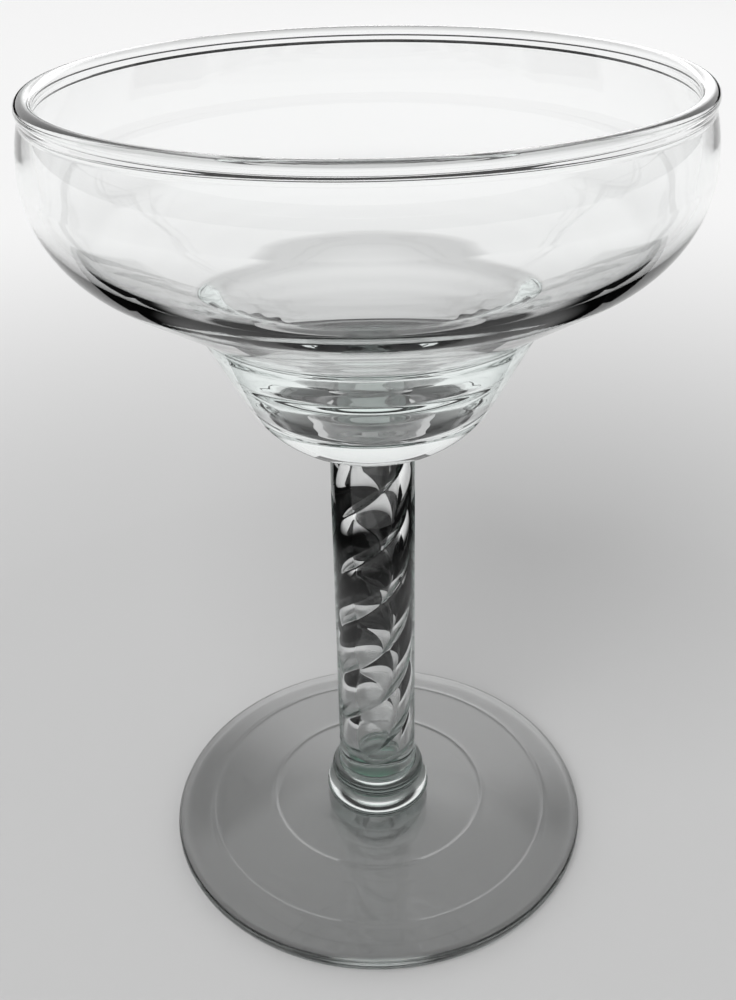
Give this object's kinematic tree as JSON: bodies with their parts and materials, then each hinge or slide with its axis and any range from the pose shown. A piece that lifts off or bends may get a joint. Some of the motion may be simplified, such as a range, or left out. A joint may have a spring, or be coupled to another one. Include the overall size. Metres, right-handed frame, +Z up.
{
  "type": "sherbet glass",
  "caption": "Clear stemmed glass with a wide stepped bowl, a stem with a twisted air hollow inside it, a ringed collar and a round foot, for sherbet or iced drinks.",
  "frame": {"origin": "on the table, under the glass's axis, at the plane of the foot's resting ring", "axes": "+Z up along the stem's axis; X and Y lie in the table, and the glass is round about +Z apart from its air twist"},
  "size_m": [0.105, 0.105, 0.1497],
  "materials": {
    "bowl_glass": "fire polished",
    "stem_glass": "fire polished",
    "collar_glass": "fire polished",
    "foot_glass": "fire polished"
  },
  "bodies": {
    "root": {"bowl": "bowl_glass", "stem": "stem_glass", "upper_collar_ring": "collar_glass", "lower_collar_ring": "collar_glass", "foot": "foot_glass"}
  },
  "joints": []
}
